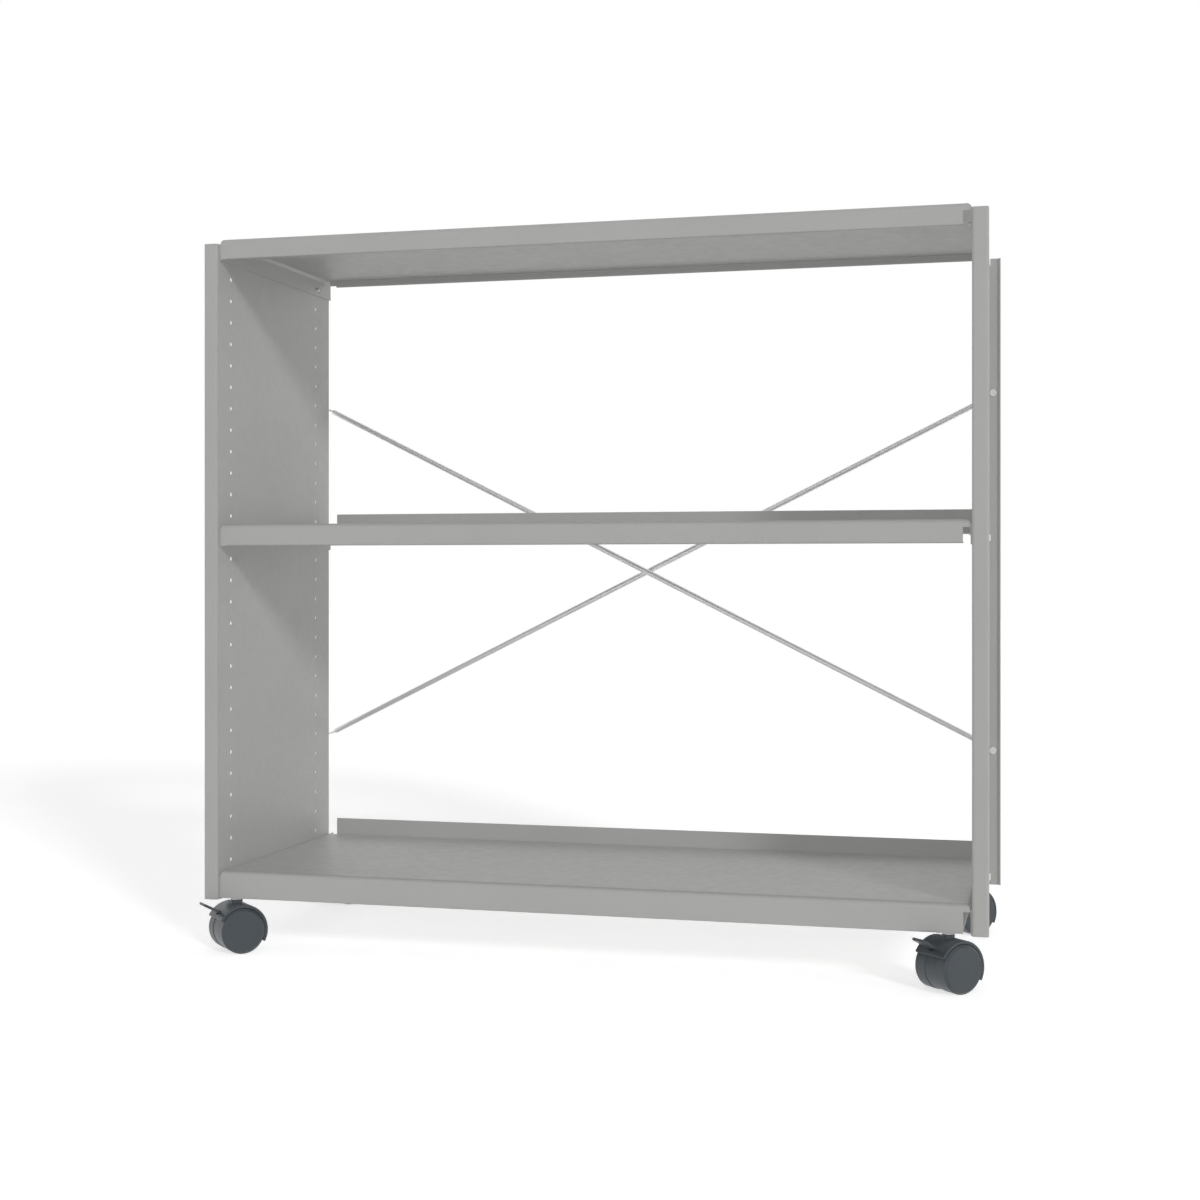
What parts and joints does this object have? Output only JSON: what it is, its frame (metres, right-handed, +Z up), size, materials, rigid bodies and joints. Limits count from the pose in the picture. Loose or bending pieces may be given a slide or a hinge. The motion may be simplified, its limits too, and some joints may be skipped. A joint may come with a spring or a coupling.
{
  "type": "lowboard",
  "caption": "Low open shelf unit of folded sheet steel with perforated side panels, bolted shelves, a rear cross brace and braked swivel castors, for media or display.",
  "frame": {"origin": "on the floor, under the middle of the whole unit with its brace and castors", "axes": "+X to the right seen from the front, +Y to the rear, +Z up"},
  "size_m": [0.8829, 0.3976, 0.8381],
  "materials": {
    "grey_powder_coat": "satin grey powder coat",
    "zinc_plated_steel": "bright zinc plating",
    "slate_plastic": "slate grey moulded plastic",
    "slate_tread": "slate grey moulded wheel"
  },
  "bodies": {
    "frame": {"side_panel_left": "grey_powder_coat", "castor_rail_left": "grey_powder_coat", "brace_bush_left_upper": "zinc_plated_steel", "brace_bush_left_lower": "zinc_plated_steel", "side_panel_right": "grey_powder_coat", "castor_rail_right": "grey_powder_coat", "brace_bush_right_upper": "zinc_plated_steel", "brace_bush_right_lower": "zinc_plated_steel", "shelf_top": "grey_powder_coat", "shelf_bolt_top_left_front": "zinc_plated_steel", "shelf_bolt_top_left_rear": "zinc_plated_steel", "shelf_bolt_top_right_front": "zinc_plated_steel", "shelf_bolt_top_right_rear": "zinc_plated_steel", "shelf_middle": "grey_powder_coat", "shelf_bolt_middle_left_front": "zinc_plated_steel", "shelf_bolt_middle_left_rear": "zinc_plated_steel", "shelf_bolt_middle_right_front": "zinc_plated_steel", "shelf_bolt_middle_right_rear": "zinc_plated_steel", "shelf_bottom": "grey_powder_coat", "shelf_bolt_bottom_left_front": "zinc_plated_steel", "shelf_bolt_bottom_left_rear": "zinc_plated_steel", "shelf_bolt_bottom_right_front": "zinc_plated_steel", "shelf_bolt_bottom_right_rear": "zinc_plated_steel", "brace_rod_falling": "zinc_plated_steel", "brace_rod_rising": "zinc_plated_steel", "castor_front_left_stem": "zinc_plated_steel", "castor_front_right_stem": "zinc_plated_steel", "castor_rear_left_stem": "zinc_plated_steel", "castor_rear_right_stem": "zinc_plated_steel"},
    "castor_front_left": {"castor_front_left_hood": "slate_plastic", "castor_front_left_axle": "zinc_plated_steel"},
    "castor_front_left_left_wheel": {"castor_front_left_left_wheel": "slate_tread"},
    "castor_front_left_right_wheel": {"castor_front_left_right_wheel": "slate_tread"},
    "castor_front_left_brake": {"castor_front_left_brake_lever": "slate_plastic"},
    "castor_front_right": {"castor_front_right_hood": "slate_plastic", "castor_front_right_axle": "zinc_plated_steel"},
    "castor_front_right_left_wheel": {"castor_front_right_left_wheel": "slate_tread"},
    "castor_front_right_right_wheel": {"castor_front_right_right_wheel": "slate_tread"},
    "castor_front_right_brake": {"castor_front_right_brake_lever": "slate_plastic"},
    "castor_rear_left": {"castor_rear_left_hood": "slate_plastic", "castor_rear_left_axle": "zinc_plated_steel"},
    "castor_rear_left_left_wheel": {"castor_rear_left_left_wheel": "slate_tread"},
    "castor_rear_left_right_wheel": {"castor_rear_left_right_wheel": "slate_tread"},
    "castor_rear_left_brake": {"castor_rear_left_brake_lever": "slate_plastic"},
    "castor_rear_right": {"castor_rear_right_hood": "slate_plastic", "castor_rear_right_axle": "zinc_plated_steel"},
    "castor_rear_right_left_wheel": {"castor_rear_right_left_wheel": "slate_tread"},
    "castor_rear_right_right_wheel": {"castor_rear_right_right_wheel": "slate_tread"},
    "castor_rear_right_brake": {"castor_rear_right_brake_lever": "slate_plastic"}
  },
  "joints": [
    {"name": "castor_front_left_swivel", "type": "hinge", "parent": "frame", "child": "castor_front_left", "pos_m": [-0.40565, -0.1625, 0.02578], "axis": [0, 0, 1], "continuous": true},
    {"name": "castor_front_left_left_roll", "type": "hinge", "parent": "castor_front_left", "child": "castor_front_left_left_wheel", "pos_m": [-0.40565, -0.1625, 0.02578], "axis": [0.7071, -0.7071, 0], "continuous": true},
    {"name": "castor_front_left_right_roll", "type": "hinge", "parent": "castor_front_left", "child": "castor_front_left_right_wheel", "pos_m": [-0.40565, -0.1625, 0.02578], "axis": [0.7071, -0.7071, 0], "continuous": true},
    {"name": "castor_front_left_brake_press", "type": "hinge", "parent": "castor_front_left", "child": "castor_front_left_brake", "pos_m": [-0.41733, -0.17418, 0.04387], "axis": [0.7071, -0.7071, 0], "range_deg": [0, 12]},
    {"name": "castor_front_right_swivel", "type": "hinge", "parent": "frame", "child": "castor_front_right", "pos_m": [0.39965, -0.1625, 0.02578], "axis": [0, 0, 1], "continuous": true},
    {"name": "castor_front_right_left_roll", "type": "hinge", "parent": "castor_front_right", "child": "castor_front_right_left_wheel", "pos_m": [0.39965, -0.1625, 0.02578], "axis": [0.7071, -0.7071, 0], "continuous": true},
    {"name": "castor_front_right_right_roll", "type": "hinge", "parent": "castor_front_right", "child": "castor_front_right_right_wheel", "pos_m": [0.39965, -0.1625, 0.02578], "axis": [0.7071, -0.7071, 0], "continuous": true},
    {"name": "castor_front_right_brake_press", "type": "hinge", "parent": "castor_front_right", "child": "castor_front_right_brake", "pos_m": [0.38797, -0.17418, 0.04387], "axis": [0.7071, -0.7071, 0], "range_deg": [0, 12]},
    {"name": "castor_rear_left_swivel", "type": "hinge", "parent": "frame", "child": "castor_rear_left", "pos_m": [-0.40565, 0.1605, 0.02578], "axis": [0, 0, 1], "continuous": true},
    {"name": "castor_rear_left_left_roll", "type": "hinge", "parent": "castor_rear_left", "child": "castor_rear_left_left_wheel", "pos_m": [-0.40565, 0.1605, 0.02578], "axis": [0.7071, -0.7071, 0], "continuous": true},
    {"name": "castor_rear_left_right_roll", "type": "hinge", "parent": "castor_rear_left", "child": "castor_rear_left_right_wheel", "pos_m": [-0.40565, 0.1605, 0.02578], "axis": [0.7071, -0.7071, 0], "continuous": true},
    {"name": "castor_rear_left_brake_press", "type": "hinge", "parent": "castor_rear_left", "child": "castor_rear_left_brake", "pos_m": [-0.41733, 0.14882, 0.04387], "axis": [0.7071, -0.7071, 0], "range_deg": [0, 12]},
    {"name": "castor_rear_right_swivel", "type": "hinge", "parent": "frame", "child": "castor_rear_right", "pos_m": [0.39965, 0.1605, 0.02578], "axis": [0, 0, 1], "continuous": true},
    {"name": "castor_rear_right_left_roll", "type": "hinge", "parent": "castor_rear_right", "child": "castor_rear_right_left_wheel", "pos_m": [0.39965, 0.1605, 0.02578], "axis": [0.7071, -0.7071, 0], "continuous": true},
    {"name": "castor_rear_right_right_roll", "type": "hinge", "parent": "castor_rear_right", "child": "castor_rear_right_right_wheel", "pos_m": [0.39965, 0.1605, 0.02578], "axis": [0.7071, -0.7071, 0], "continuous": true},
    {"name": "castor_rear_right_brake_press", "type": "hinge", "parent": "castor_rear_right", "child": "castor_rear_right_brake", "pos_m": [0.38797, 0.14882, 0.04387], "axis": [0.7071, -0.7071, 0], "range_deg": [0, 12]}
  ]
}
